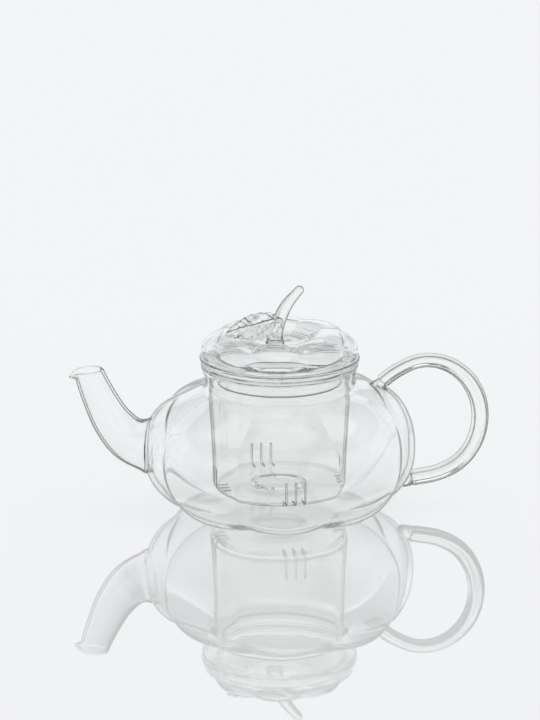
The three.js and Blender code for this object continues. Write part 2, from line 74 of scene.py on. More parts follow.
SHOULDER_DEPTH_LOSS = 0.35
NECK_DEPTH = 0.15
INNER_CREASE = 0.8
FINE = 0.00025
BODY_SOFTNESS = 6
BODY_ROUNDING = 3
BODY_STEP = 0.0023
AROUND_BODY = 400


def superellipse(centre, radii, start, end, power=1.0, count=200):
    """Part of an oval from one angle to another, in degrees: its centre plus each half axis
    times the cosine or sine, raised to a power with its sign kept."""
    angle = np.radians(np.linspace(start, end, count))
    way = np.stack([np.cos(angle), np.sin(angle)], axis=1)
    return np.array(centre) + np.array(radii) * np.sign(way) * np.abs(way) ** power


def line_length(points):
    """Running length at each point of a line: the sum of the steps before it."""
    steps = np.linalg.norm(np.diff(points, axis=0), axis=1)
    return np.concatenate([[0.0], np.cumsum(steps)])


def sampled(points, measure, count):
    """The columns of a line at equal steps of a measure that grows along it."""
    places = np.linspace(0, measure[-1], count)
    return np.stack([np.interp(places, measure, column) for column in points.T], axis=1)


def even(points, spacing):
    """The same line with equal steps; columns past the second are carried along."""
    length = line_length(points[:, :2])
    return sampled(points, length, max(3, round(length[-1] / spacing) + 1))


def softened(values, width):
    """A running mean under a bell curve, width samples wide, that keeps both end values: the
    line is mirrored through its ends first."""
    reach = 3 * width
    bell = np.exp(-0.5 * (np.arange(-reach, reach + 1) / width) ** 2)
    bell /= bell.sum()
    head = 2 * values[0] - values[reach:0:-1]
    tail = 2 * values[-1] - values[-2:-reach - 2:-1]
    long = np.concatenate([head, values, tail])
    return np.stack([np.convolve(column, bell, mode="valid") for column in long.T], axis=1)


def thinned(line, longest, sharpest=7.0):
    """The same line with as few points as its shape needs: equal steps of length over the
    longest step plus degrees turned over the sharpest turn."""
    along = np.unwrap(np.arctan2(np.gradient(line[:, 1]), np.gradient(line[:, 0])))
    turned = np.concatenate([[0.0], np.cumsum(np.abs(np.diff(along)))])
    measure = line_length(line[:, :2]) / longest + np.degrees(turned) / sharpest
    return sampled(line, measure, round(measure[-1]) + 1)


def outward(line):
    """The unit vector square to a line of (radius, height) points, to the right of its run."""
    along = np.gradient(line[:, :2], axis=0)
    along /= np.linalg.norm(along, axis=1, keepdims=True)
    return np.stack([along[:, 1], -along[:, 0]], axis=1)


def walled(outer, wall, rounding, longest, inner_first=False):
    """The whole section of a wall from its outer face, given as (radius, height, crease
    depth): the inner face lies a wall's thickness inside, where the creases are shallower and
    the depth changes sign, and edges are rounded by a running mean."""
    outer = even(outer, FINE)
    inner = outer.copy()
    inner[:, :2] -= wall * outward(outer)
    inner[:, 2] *= -INNER_CREASE
    inner = inner[::-1]
    loop = np.concatenate([inner, outer] if inner_first else [outer, inner])
    return thinned(softened(even(loop, FINE), rounding), longest)


def crease(angle, sharpness=BODY_SHARPNESS):
    """0 on the crest of a lobe and nearly 1 in the crease between two: one less the rounded
    size of a cosine with a half wave for each lobe, raised to a power: the lower it is, the
    flatter the lobes and the narrower the creases."""
    wave = np.cos(LOBES / 2 * angle) ** 2
    rounded = (wave + CREASE_SOFTNESS ** 2) / (1 + CREASE_SOFTNESS ** 2)
    return 1 - rounded ** (sharpness / 2)


def revolved(section, around, turn=0.0, sharpness=BODY_SHARPNESS):
    """Rings of points: a section of (radius, height, crease depth) turned about Z, and sunk
    square to itself by the depth times the crease at each angle."""
    angle = np.linspace(0, 2 * np.pi, around, endpoint=False)
    sunk = section[:, 2, None] * crease(angle - turn, sharpness)[None, :]
    push = outward(section)
    radius = np.maximum(section[:, 0, None] - push[:, 0, None] * sunk, 1e-6)
    height = section[:, 1, None] - push[:, 1, None] * sunk
    return np.stack([radius * np.cos(angle), radius * np.sin(angle), height], axis=2)


def smoothstep(value, low, high):
    """0 below low, 1 above high and an S curve between."""
    share = np.clip((value - low) / (high - low), 0, 1)
    return share * share * (3 - 2 * share)


def swollen(points):
    """Points carried up with the shoulder, which stands fuller on the handle's side: by half a
    wave over the radius from the neck to the widest ring, times the cube of half of one plus
    the cosine of the angle, and by nothing on the bowl."""
    radius = np.maximum(np.hypot(points[..., 0], points[..., 1]), 1e-9)
    out = np.clip((radius - NECK_RADIUS) / (BODY_RADIUS - NECK_RADIUS), 0, 1)
    side = ((1 + points[..., 0] / radius) / 2) ** 3
    above = smoothstep(points[..., 2], BODY_WIDEST, BODY_WIDEST + SHOULDER_RISE / 2)
    lift = SHOULDER_SWELL * np.sin(np.pi * out) * side * above
    return points + lift[..., None] * np.array([0, 0, 1])


def skin(name, rings, joined=False):
    """A closed mesh over rings of points: quads between neighbouring rings, and either the
    last ring joined to the first, or each end shut by a fan to its middle."""
    count, around = rings.shape[:2]
    index = np.arange(count * around).reshape(count, around)
    onward = np.roll(index, -1, axis=0) if joined else index[1:]
    near = index if joined else index[:-1]
    quads = np.stack([near, np.roll(near, -1, 1), np.roll(onward, -1, 1), onward], axis=-1)
    quads = quads.reshape(-1, 4)
    faces = quads.tolist()
    points = rings.reshape(-1, 3)
    if not joined:
        points = np.concatenate([points, rings[[0, -1]].mean(axis=1)])
        first, last = count * around, count * around + 1
        faces += [[first, b, a] for a, b in zip(index[0], np.roll(index[0], -1))]
        faces += [[last, a, b] for a, b in zip(index[-1], np.roll(index[-1], -1))]
    a, b, c, d = (points[quads[:, i]] for i in range(4))
    volume = np.einsum("ij,ij->", a, np.cross(b, c)) + np.einsum("ij,ij->", a, np.cross(c, d))
    if volume < 0:
        faces = [face[::-1] for face in faces]
    mesh = bpy.data.meshes.new(name)
    mesh.from_pydata(points.tolist(), [], faces)
    mesh.shade_smooth()
    piece = bpy.data.objects.new(name, mesh)
    bpy.context.collection.objects.link(piece)
    return piece


def joined_line(*parts):
    """Lines one after the other, without the doubled point where each meets the one before."""
    return np.concatenate([parts[0], *(part[1:] for part in parts[1:])])


def with_depth(line, depth):
    """A line with the crease depth as its third column."""
    return np.column_stack([line, np.broadcast_to(depth, len(line))])


drop = math.tan(SHOULDER_SLOPE)
shoulder_end = math.degrees(math.atan(
    (drop * SHOULDER_RADIUS / SHOULDER_RISE) ** (-1 / (2 - SHOULDER_FULLNESS))))
bowl = superellipse(
    (BASE_RADIUS, BODY_WIDEST), (BODY_RADIUS - BASE_RADIUS, BODY_WIDEST), -90, 0, BOWL_FULLNESS)
shoulder = superellipse(
    (BODY_RADIUS - SHOULDER_RADIUS, BODY_WIDEST), (SHOULDER_RADIUS, SHOULDER_RISE),
    0, shoulder_end, SHOULDER_FULLNESS)
neck_base = shoulder[-1, 1] + drop * (shoulder[-1, 0] - NECK_RADIUS)
flare_base = neck_base + NECK_FILLET
rise = np.linspace(0, 1, 60)
bend = np.stack([(1 - rise) ** 2, 2 * rise * (1 - rise), rise ** 2], axis=1)
neck = bend @ np.array([
    [NECK_RADIUS + NECK_FILLET, neck_base - drop * NECK_FILLET],
    [NECK_RADIUS, neck_base],
    [NECK_RADIUS, flare_base]])


def flare(radius, top):
    """A wall that rises from the neck to a height while it opens by the rim's flare, mostly
    near the top: the radius grows with a power of the rise."""
    return np.stack([
        radius + RIM_FLARE * rise ** FLARE_POWER, flare_base + (top - flare_base) * rise], axis=1)


base_disc = np.stack([
    BASE_RADIUS * rise,
    BASE_HOLLOW * np.clip(1 - (rise / BASE_HOLLOW_SHARE) ** 2, 0, 1)], axis=1)
along_bowl = np.linspace(0, 1, len(bowl))
along_shoulder = np.linspace(0, 1, len(shoulder))
bowl_depth = (
    np.sin(along_bowl * np.pi / 2) ** BOWL_DEPTH_POWER
    + BOWL_DEPTH_SWELL * np.sin(along_bowl * np.pi))
body_outside = joined_line(
    with_depth(base_disc, 0),
    with_depth(bowl, BODY_LOBE_DEPTH * bowl_depth),
    with_depth(shoulder, BODY_LOBE_DEPTH * (1 - SHOULDER_DEPTH_LOSS * along_shoulder ** 2)),
    with_depth(neck, BODY_LOBE_DEPTH * NECK_DEPTH * (1 - rise) ** 2),
    with_depth(flare(NECK_RADIUS, RIM_HEIGHT), 0))
body_outside = softened(even(body_outside, FINE), BODY_SOFTNESS)
body_section = walled(body_outside, BODY_WALL, BODY_ROUNDING, BODY_STEP)
pot_shell = skin("pot_shell", swollen(revolved(body_section, AROUND_BODY)))


class Value:
    """A number that varies over a surface: a node's output whose sums and products add Math
    nodes."""

    def __init__(self, socket):
        self.socket = socket

    def with_math(self, operation, left, right):
        node = add_node(
            self.socket.id_data, "ShaderNodeMath", {"operation": operation}, {0: left, 1: right})
        return Value(node.outputs[0])

    def __add__(self, other):
        return self.with_math("ADD", self, other)

    def __mul__(self, other):
        return self.with_math("MULTIPLY", self, other)

    def __sub__(self, other):
        return self.with_math("SUBTRACT", self, other)

    def __rsub__(self, other):
        return self.with_math("SUBTRACT", other, self)

    __radd__ = __add__
    __rmul__ = __mul__


def add_node(tree, kind, settings=None, inputs=None):
    """A node of a kind, with its settings made first and then the values or links of its
    sockets."""
    node = tree.nodes.new(kind)
    for name, value in (settings or {}).items():
        setattr(node, name, value)
    for name, value in (inputs or {}).items():
        if isinstance(value, Value):
            value = value.socket
        if isinstance(value, bpy.types.NodeSocket):
            tree.links.new(value, node.inputs[name])
        else:
            node.inputs[name].default_value = value
    return node


def ramp(value, low, high):
    """A value carried smoothly from 0 at low to 1 at high."""
    tree = value.socket.id_data
    return Value(add_node(tree, "ShaderNodeMapRange", {"interpolation_type": "SMOOTHSTEP"}, {
        "Value": value, "From Min": low, "From Max": high}).outputs["Result"])


def mixed(share, first, second):
    """The first colour where a share is 0 and the second where it is 1."""
    return add_node(share.socket.id_data, "ShaderNodeMix", {"data_type": "RGBA"}, {
        "Factor": share, 6: first, 7: second}).outputs[2]


def level_of(place):
    """The height of a place, as a number that varies over the surface."""
    return Value(add_node(
        place.id_data, "ShaderNodeSeparateXYZ", {}, {"Vector": place}).outputs["Z"])


CLEAR_TINT = (0.99, 0.995, 0.993)
UNEVEN_TINT = 0.99
# Painted shade: the dark colour that glass is given where its wall is seen edge-on, for its dark
# outlines.
PAINTED_EDGE_SHADE = (0.04, 0.045, 0.04)
GROUND_TINT = (0.3, 0.31, 0.29)
GROUND_ROUGHNESS = 0.5
GLASS_BEND = 1.47
DEPTH_TINT = (0.55, 0.72, 0.66, 1)
DEPTH_PER_METRE = 3.0
FIRE_POLISH = 0.01
FINER = 9
# Painted edge shade: full at this share of the slant where it begins; on the pot body it grows
# from half on the base to full between these heights.
EDGE_SHADE_FULL = 0.7
EDGE_SHADE_RISE = (0.001, 0.008)


def clear_glass(
        name, ripple, ripple_size, edge, tint=CLEAR_TINT, haze=FIRE_POLISH, edge_shade=PAINTED_EDGE_SHADE,
        lined=None, ground=None):
    """Clear glass: a smooth shader that bends light, a faint darkening through its depth, slow
    ripples in its skin and a trace of uneven polish.  Where the wall is seen along its length
    its colour is painted towards a dark colour, as painted shade for the dark outlines of the
    glass: edge is the cosine of slant where that begins.  lined gives, from a place, how much
    of that painted shade shows there, and ground how far the skin is ground there."""
    material = bpy.data.materials.new(name)
    material.use_nodes = True
    tree = material.node_tree
    tree.nodes.clear()
    place = add_node(tree, "ShaderNodeTexCoord").outputs["Object"]
    slow = add_node(tree, "ShaderNodeTexNoise", {}, {
        "Vector": place, "Scale": 1 / ripple_size, "Detail": 2.0})
    fine = Value(add_node(tree, "ShaderNodeTexNoise", {}, {
        "Vector": place, "Scale": FINER / ripple_size, "Detail": 3.0}).outputs["Fac"])
    bump = add_node(tree, "ShaderNodeBump", {}, {
        "Height": slow.outputs["Fac"], "Strength": 1.0, "Distance": ripple})
    facing = Value(add_node(
        tree, "ShaderNodeLayerWeight", {}, {"Blend": 0.5}).outputs["Facing"])
    # Painted shade: where the wall is seen edge-on, the colour is mixed towards the dark edge
    # colour.
    painted_edge = ramp(facing, 1 - edge, 1 - EDGE_SHADE_FULL * edge)
    if lined:
        painted_edge = painted_edge * lined(place)
    polish = haze * fine
    colour = mixed(fine, (*tint, 1), (*[part * UNEVEN_TINT for part in tint], 1))
    # The painted edge shade goes into the glass's colour here.
    colour = mixed(painted_edge, colour, (*edge_shade, 1))
    if ground:
        mask = ground(place)
        polish = polish + GROUND_ROUGHNESS * mask
        colour = mixed(mask, colour, (*GROUND_TINT, 1))
    shader = add_node(tree, "ShaderNodeBsdfPrincipled", {}, {
        "Base Color": colour, "Roughness": polish, "IOR": GLASS_BEND,
        "Transmission Weight": 1.0, "Normal": bump.outputs["Normal"]})
    depth = add_node(tree, "ShaderNodeVolumeAbsorption", {}, {
        "Color": DEPTH_TINT, "Density": DEPTH_PER_METRE})
    add_node(tree, "ShaderNodeOutputMaterial", {}, {
        "Surface": shader.outputs["BSDF"], "Volume": depth.outputs["Volume"]})
    return material


def above_base(place):
    """How much of the painted edge shade shows: half on the flat base, all from the bowl up."""
    return 0.5 + 0.5 * ramp(level_of(place), *EDGE_SHADE_RISE)


blown_glass = clear_glass(
    "blown_glass", ripple=0.00005, ripple_size=0.03, edge=0.25, lined=above_base)
spout_glass = clear_glass("spout_glass", ripple=0.00005, ripple_size=0.03, edge=0.5)


def finished(piece, material, body, slot, *nodes):
    """Gives a piece its material and its body, and hides the CAD nodes that it stands for.  slot
    is not used.
    """
    if material.name not in piece.data.materials:
        piece.data.materials.clear()
        piece.data.materials.append(material)
    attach(piece, body)
    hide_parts(*nodes)


# ------------------------------------------------------------------ spout
# A tapering tube of the same glass, bent at the flame and melted to the rim of an oval hole in
# the body.  Its mouth is cut at a slant, rounded off and drawn out into a small pouring lip.
SPOUT_WALL = 0.0012
SPOUT_FOOT_WALL = 0.0004
SPOUT_FOOT_HEIGHT = 0.0286
SPOUT_FOOT_WIDTH = 0.023
SPOUT_FOOT_LEVEL = BODY_WIDEST + 0.0037
WALL_THICKENS = (1.4, 2.4)
FOOT_FLARE = 0.0005
FOOT_FLARE_REACH = 0.0016
SPOUT_TAPER = 0.6
SPOUT_REACH = 0.02695
SPOUT_MOUTH_LENGTH = 0.0142
SPOUT_MOUTH_WIDTH = 0.0134
MOUTH_BACK_LEVEL = RIM_HEIGHT - 0.0009
MOUTH_TILT = math.radians(3)
SPOUT_MOUTH_LEVEL = MOUTH_BACK_LEVEL - math.tan(MOUTH_TILT) * SPOUT_MOUTH_LENGTH / 2
LIP_POUR = 0.0034
LIP_LENGTH = 0.0028
LIP_DROOP = 0.0048
SEAM = 0.00004
PATH_STEP = 0.0004
SPOUT_SOFTNESS = 6
SPOUT_RINGS = 110
AROUND_SPOUT = 96
MOUTH_RINGS = 9
HOLE_CLEARANCE = 8
TABLE_SINKS = 25
TABLE_LEVELS = 400
TABLE_START = 0.001
SPOUT_COURSE = np.array([
    [-0.444, -0.026], [-0.085, 0], [0.244, 0.078], [0.548, 0.305],
    [0.719, 0.519], [0.893, 0.793], [1.03, 1.06]])


def smooth_path(points, spacing, softness):
    """A centripetal Catmull-Rom line through points, in equal steps and then softened: each
    stretch is a cubic whose end slopes come from the distances to the neighbouring points."""
    points = np.concatenate([[2 * points[0] - points[1]], points, [2 * points[-1] - points[-2]]])
    gaps = np.sqrt(np.linalg.norm(np.diff(points, axis=0), axis=1))[:, None]
    p0, p1, p2, p3 = points[:-3], points[1:-2], points[2:-1], points[3:]
    g0, g1, g2 = gaps[:-2], gaps[1:-1], gaps[2:]
    start = ((p1 - p0) / g0 - (p2 - p0) / (g0 + g1) + (p2 - p1) / g1) * g1
    end = ((p2 - p1) / g1 - (p3 - p1) / (g1 + g2) + (p3 - p2) / g2) * g1
    t = np.linspace(0, 1, 80, endpoint=False)[None, :, None]
    p1, p2, start, end = (row[:, None] for row in (p1, p2, start, end))
    stretches = (
        (2 * t ** 3 - 3 * t ** 2 + 1) * p1 + (t ** 3 - 2 * t ** 2 + t) * start
        + (3 * t ** 2 - 2 * t ** 3) * p2 + (t ** 3 - t ** 2) * end)
    line = np.concatenate([stretches.reshape(-1, points.shape[1]), points[-2:-1]])
    return softened(even(line, spacing), softness)


def bent_tube(path, around, section):
    """Rings round a path of (x, z) points: section gives how far the skin lies from the path
    in its plane and across it, for a share of the length and an angle."""
    share = (line_length(path) / line_length(path)[-1])[:, None]
    angle = np.linspace(0, 2 * np.pi, around, endpoint=False)[None, :]
    along = np.gradient(path, axis=0)
    along /= np.linalg.norm(along, axis=1, keepdims=True)
    u, v = np.broadcast_arrays(*section(share, angle))
    return np.stack([
        path[:, 0, None] + u * along[:, 1, None], v, path[:, 1, None] - u * along[:, 0, None]],
        axis=2)


def first_row(outside):
    """The row, with its fraction, where each column of values first turns positive."""
    after = np.argmax(outside > 0, axis=0)
    column = np.arange(outside.shape[1])
    low, high = outside[after - 1, column], outside[after, column]
    return after - 1 + low / (low - high)


def between_rows(rings, start, end, count):
    """Rings again, each lengthwise line running from its own start row to its own end row."""
    row = start + (end - start) * np.linspace(0, 1, count)[:, None]
    low = np.clip(row.astype(int), 0, len(rings) - 2)
    part = (row - low)[..., None]
    column = np.arange(rings.shape[1])[None, :]
    return rings[low, column] * (1 - part) + rings[low + 1, column] * part


sinks = np.linspace(0, 1, TABLE_SINKS)
levels = np.linspace(TABLE_START, neck_base, TABLE_LEVELS)
body_push = outward(body_outside)
body_reach = np.stack([
    np.interp(
        levels, body_outside[:, 1] - body_push[:, 1] * body_outside[:, 2] * sink,
        body_outside[:, 0] - body_push[:, 0] * body_outside[:, 2] * sink)
    for sink in sinks])


def outside_body(points):
    """How far points lie outside the body: their radius less the body's at that height and
    angle, read from a table over crease and height."""
    row = crease(np.arctan2(points[..., 1], points[..., 0])) * (len(sinks) - 1)
    column = np.clip(
        (points[..., 2] - levels[0]) / (levels[1] - levels[0]), 0, len(levels) - 1.001)
    i, j = row.astype(int), column.astype(int)
    i = np.minimum(i, len(sinks) - 2)
    a, b = row - i, column - j
    reach = (
        (body_reach[i, j] * (1 - b) + body_reach[i, j + 1] * b) * (1 - a)
        + (body_reach[i + 1, j] * (1 - b) + body_reach[i + 1, j + 1] * b) * a)
    return np.hypot(points[..., 0], points[..., 1]) - reach


spout_scale = np.array([SPOUT_REACH, SPOUT_MOUTH_LEVEL - SPOUT_FOOT_LEVEL])
spout_path = smooth_path(
    np.array([-BODY_RADIUS, SPOUT_FOOT_LEVEL]) + SPOUT_COURSE * spout_scale * [-1, 1],
    PATH_STEP, SPOUT_SOFTNESS)
spout_length = line_length(spout_path)[-1]
buried = np.linalg.norm((SPOUT_COURSE[1] - SPOUT_COURSE[0]) * spout_scale) / spout_length
at_mouth = 1 - np.linalg.norm((SPOUT_COURSE[-1] - 1) * spout_scale) / spout_length
at_lip = at_mouth - LIP_LENGTH / spout_length


def spout_section(depth):
    """An oval that narrows from foot to mouth by a power of the way along, and bulges at the
    front near the mouth for the pouring lip.  depth is how far into the wall it lies: 0 is the
    skin and 1 the bore.  The wall is drawn thin where it meets the body, and thickens over a
    stretch given in lengths of the buried foot."""
    def section(share, angle):
        inset = depth * (SPOUT_FOOT_WALL + (SPOUT_WALL - SPOUT_FOOT_WALL) * smoothstep(
            share, WALL_THICKENS[0] * buried, WALL_THICKENS[1] * buried))
        narrowing = np.clip((share - buried) / (1 - buried), 0, 1) ** SPOUT_TAPER
        tall = SPOUT_FOOT_HEIGHT + (SPOUT_MOUTH_LENGTH - SPOUT_FOOT_HEIGHT) * narrowing
        wide = SPOUT_FOOT_WIDTH + (SPOUT_MOUTH_WIDTH - SPOUT_FOOT_WIDTH) * narrowing
        pour = LIP_POUR * smoothstep(share, at_lip, at_mouth) * np.clip(-np.cos(angle), 0, 1) ** 4
        return (tall / 2 - inset) * np.cos(angle) - pour, (wide / 2 - inset) * np.sin(angle)
    return section


mouth_back = -BODY_RADIUS - SPOUT_REACH + SPOUT_MOUTH_LENGTH / 2
mouth_span = SPOUT_MOUTH_LENGTH + LIP_POUR


def above_mouth(points):
    """How far points lie above the middle line of the mouth's rim, which falls evenly from the
    back and droops at the lip with the sixth power of the way across."""
    share = np.clip((mouth_back - points[..., 0]) / mouth_span, 0, None)
    drop = math.tan(MOUTH_TILT) * mouth_span * share + LIP_DROOP * share ** 6
    return points[..., 2] - (MOUTH_BACK_LEVEL - SPOUT_WALL / 2 - drop)


spout_outside = bent_tube(spout_path, AROUND_SPOUT, spout_section(0))
spout_bore = bent_tube(spout_path, AROUND_SPOUT, spout_section(1))
spout_middle = bent_tube(spout_path, AROUND_SPOUT, spout_section(0.5))
foot_row = first_row(outside_body(spout_outside) - SEAM)
past_foot = (np.arange(len(spout_outside))[:, None] - foot_row) * PATH_STEP
flared = FOOT_FLARE * np.exp(-np.clip(past_foot, 0, None) / FOOT_FLARE_REACH)
away = spout_outside - spout_middle
away /= np.linalg.norm(away, axis=2, keepdims=True)
spout_outside = spout_outside + flared[..., None] * away


def stretch_of_spout(rings):
    """The part of the spout's skin or bore that lies between the body and the mouth."""
    start = first_row(outside_body(rings) - SEAM)
    end = first_row(above_mouth(rings))
    return between_rows(rings, start, end, SPOUT_RINGS)


outside = stretch_of_spout(spout_outside)
inside = stretch_of_spout(spout_bore)
half = (outside[-1] - inside[-1]) / 2
onward = outside[-1] - outside[-4] + inside[-1] - inside[-4]
onward *= (
    np.linalg.norm(half, axis=1, keepdims=True) / np.linalg.norm(onward, axis=1, keepdims=True))
round_angle = np.linspace(0, np.pi, MOUTH_RINGS)[1:-1, None, None]
mouth_rim = (
    (outside[-1] + inside[-1]) / 2
    + half * np.cos(round_angle) + onward * np.sin(round_angle))
spout = skin("spout_tube", np.concatenate([outside, mouth_rim, inside[::-1]]), joined=True)
finished(spout, spout_glass, "pot", "blown_glass", "spout")


def combined(piece, cutters, operation="DIFFERENCE", sharp=40):
    """Cuts closed cutters out of a closed piece, or melts them to it, and keeps the edges
    crisp where two faces meet at more than the sharp angle."""
    for cutter in cutters:
        modifier = piece.modifiers.new("cut", "BOOLEAN")
        modifier.operation = operation
        modifier.solver = "MANIFOLD"
        modifier.object = cutter
    whole = piece.data
    depsgraph = bpy.context.evaluated_depsgraph_get()
    piece.modifiers.update()
    cut = bpy.data.meshes.new_from_object(piece.evaluated_get(depsgraph))
    piece.modifiers.clear()
    piece.data = cut
    cut.name = whole.name
    bpy.data.meshes.remove(whole)
    cut.set_sharp_from_angle(angle=math.radians(sharp))
    for cutter in cutters:
        bpy.data.objects.remove(cutter)


# The body's hole is as wide as the spout's bore, and ends just past the spout's foot.
hole_end = int(foot_row.max()) + HOLE_CLEARANCE
combined(pot_shell, [skin("hole", spout_bore[:hole_end:4])])
finished(pot_shell, blown_glass, "pot", "blown_glass", "pot_body")


# ------------------------------------------------------------------ handle
# A solid drawn rod with six faint flutes, bent hot into a loop.  Each end is melted to the
# body through a gather of glass, and rod and gathers have run together.
ROD_RADIUS = 0.004
ROD_TOP_RADIUS = 0.0034
ROD_FLUTES = 6
ROD_FLUTE_DEPTH = 0.00035
HANDLE_REACH = 0.0327
HANDLE_HALF_WIDTH = 0.027
HANDLE_ABOVE_WELD = 0.0128
HANDLE_ABOVE_FOOT = 0.0021
LOOP_START, LOOP_END = 122, -76
LOOP_POINTS = 9
ROD_RISE = np.array([0.0036, 0.0036])
ROD_RETURN = np.array([0.0083, 0.0012])
ROD_SOFTNESS = 5
ROD_THICKENS = (0.2, 0.5)
UPPER_WELD_INSET = 0.0188
LOWER_WELD_LEVEL = 0.0145
UPPER_WELD = (0.0054, 0.0056, 0.85)
LOWER_WELD = (0.0046, 0.0052, 1.4)
UPPER_STUB = 0.0024
LOWER_STUB = 0.0028
ROD_END_ROUND = 0.0008
# Painted shade given to the rod's glass where it is seen edge-on, lighter than the other glass's.
ROD_EDGE_SHADE = (0.12, 0.13, 0.11)
AROUND_ROD = 72
AROUND_WELD = 96
WELD_SPAN = (-80, 89)
WELD_STEPS = 400
WELD_RINGS = 60
WELD_FOOT_RINGS = 12
HALVINGS = 24

crest = body_outside[:, :2]
above_bowl = crest[np.argmax(crest[:, 0]):]
upper_x = BODY_RADIUS - UPPER_WELD_INSET
upper_seat = np.array([upper_x, np.interp(-upper_x, -above_bowl[:, 0], above_bowl[:, 1])])
rod_start = swollen(np.array([upper_seat[0], 0, upper_seat[1]]))[[0, 2]]
on_bowl = crest[:np.argmax(crest[:, 0])]
lower_seat = np.array([
    np.interp(LOWER_WELD_LEVEL, on_bowl[:, 1], on_bowl[:, 0]), LOWER_WELD_LEVEL])


def crest_tilt(seat):
    """The direction square to the body's crest line at its point nearest a seat."""
    return outward(crest)[np.argmin(np.linalg.norm(crest - seat, axis=1))]


oval_top = rod_start[1] + HANDLE_ABOVE_WELD
oval_bottom = lower_seat[1] + HANDLE_ABOVE_FOOT
oval = superellipse(
    (BODY_RADIUS + HANDLE_REACH - HANDLE_HALF_WIDTH, (oval_top + oval_bottom) / 2),
    (HANDLE_HALF_WIDTH, (oval_top - oval_bottom) / 2), LOOP_START, LOOP_END, count=LOOP_POINTS)
rod_path = smooth_path(np.concatenate([
    [rod_start, rod_start + ROD_RISE], oval, [lower_seat + ROD_RETURN, lower_seat]]),
    PATH_STEP, ROD_SOFTNESS)


def rod_section(share, angle):
    """A circle with faint flutes: its radius grows from the thin top to the middle of the
    rod, and swells and sinks with a cosine."""
    middle = ROD_TOP_RADIUS + (ROD_RADIUS - ROD_TOP_RADIUS) * smoothstep(share, *ROD_THICKENS)
    radius = middle + ROD_FLUTE_DEPTH * np.cos(ROD_FLUTES * angle)
    return radius * np.cos(angle), radius * np.sin(angle)


def weld(name, seat, shape):
    """The gather of glass between rod and body: shape is a radius, a height and the power of
    an oval about the line square to the body, concave below 1.  Under it lies a face that
    follows the body, found by halving the span across the body's skin again and again."""
    radius, thickness, power = shape
    tilt = crest_tilt(seat)
    up = np.array([tilt[0], 0, tilt[1]])
    across = np.array([tilt[1], 0, -tilt[0]])
    centre = np.array([seat[0], 0, seat[1]])
    angle = np.linspace(0, 2 * np.pi, AROUND_WELD, endpoint=False)[None, :, None]
    spoke = np.cos(angle) * across + np.sin(angle) * np.array([0, 1, 0])
    latitude = np.radians(np.linspace(*WELD_SPAN, WELD_STEPS))[:, None, None]
    flat = np.cos(latitude) ** (2 / power)
    tall = np.sign(latitude) * np.abs(np.sin(latitude)) ** (2 / power)
    globe = centre + radius * flat * spoke + thickness * tall * up
    edge = first_row(outside_body(globe) - SEAM)
    top = between_rows(globe, edge, edge * 0 + len(globe) - 1, WELD_RINGS)
    spread = np.linspace(0, 1, WELD_FOOT_RINGS)[1:-1, None, None]
    foot = centre + spread * (top[0] - centre)
    low, high = foot - radius * up, foot + radius * up
    for _ in range(HALVINGS):
        half_way = (low + high) / 2
        out = (outside_body(half_way) > SEAM)[..., None]
        low, high = np.where(out, low, half_way), np.where(out, half_way, high)
    return skin(name, swollen(np.concatenate([high, top])))


rod_length = line_length(rod_path)
rod_rings = bent_tube(rod_path, AROUND_ROD, rod_section)
kept = (rod_length > UPPER_STUB) & (rod_length < rod_length[-1] - LOWER_STUB)
rod_rings, rod_length = rod_rings[kept], rod_length[kept]
from_end = np.minimum(rod_length - rod_length[0], rod_length[-1] - rod_length)
shrunk = ROD_END_ROUND - np.sqrt(np.clip(
    ROD_END_ROUND ** 2 - np.clip(ROD_END_ROUND - from_end, 0, None) ** 2, 0, None))
rod_middle = rod_rings.mean(axis=1, keepdims=True)
rod_rings = rod_middle + (rod_rings - rod_middle) * (1 - shrunk / ROD_RADIUS)[:, None, None]
rod = skin("handle_rod", rod_rings)
combined(rod, [
    weld("upper_weld", upper_seat, UPPER_WELD), weld("lower_weld", lower_seat, LOWER_WELD)],
    operation="UNION", sharp=70)
rod_glass = clear_glass(
    "rod_glass", ripple=0.00003, ripple_size=0.012, edge=0.74, edge_shade=ROD_EDGE_SHADE)
finished(rod, rod_glass, "pot", "rod_glass", "handle", "handle_upper_weld", "handle_lower_weld")


# ------------------------------------------------------------------ infuser
# A straight cup of thinner glass that hangs in the neck by its flared lip.  Four groups of
# three slots are ground through its corner with a thin diamond blade.
infuser_low, infuser_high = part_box("infuser")
INFUSER_RADIUS = 0.0349
INFUSER_WALL = 0.001
INFUSER_BOTTOM = infuser_low.z
INFUSER_CORNER = 0.0045
INFUSER_LIP = 0.0015
LIP_TOP = infuser_high.z
LIP_BASE = LIP_TOP - INFUSER_LIP
RIM_RADIUS = infuser_high.x
INFUSER_FLOOR = 0.0018
INNER_CORNER = 0.0018
HOLLOW_RADIUS = 0.02
HOLLOW_FLANK = 0.9 * HOLLOW_RADIUS
HOLLOW_DEPTH = 0.001
PUNT_RADIUS = 0.0134
PUNT_FLANK = 0.0026
PUNT_DEPTH = 0.0017
LIP_LAP = 0.0002
INFUSER_TINT = (0.965, 0.97, 0.962)
INFUSER_STEP = 0.0016
AROUND_INFUSER = 288
SLOT_WIDTH = 0.0006
SLOT_HAZE = 0.0006
SLOT_HEIGHT = 0.0136
SLOT_REACH = 0.008
SLOT_PITCH = 0.0045
SLOTS_IN_GROUP = 3
SLOT_GROUPS = 4
SLOT_TURN = math.radians(9.5)
BLADE_SHAPE = np.array([
    [0.2, -1], [0.97, -1], [0.99, -0.6], [1, 0], [0.99, 0.6], [0.97, 1], [0.2, 1]])
AROUND_BLADE = 120


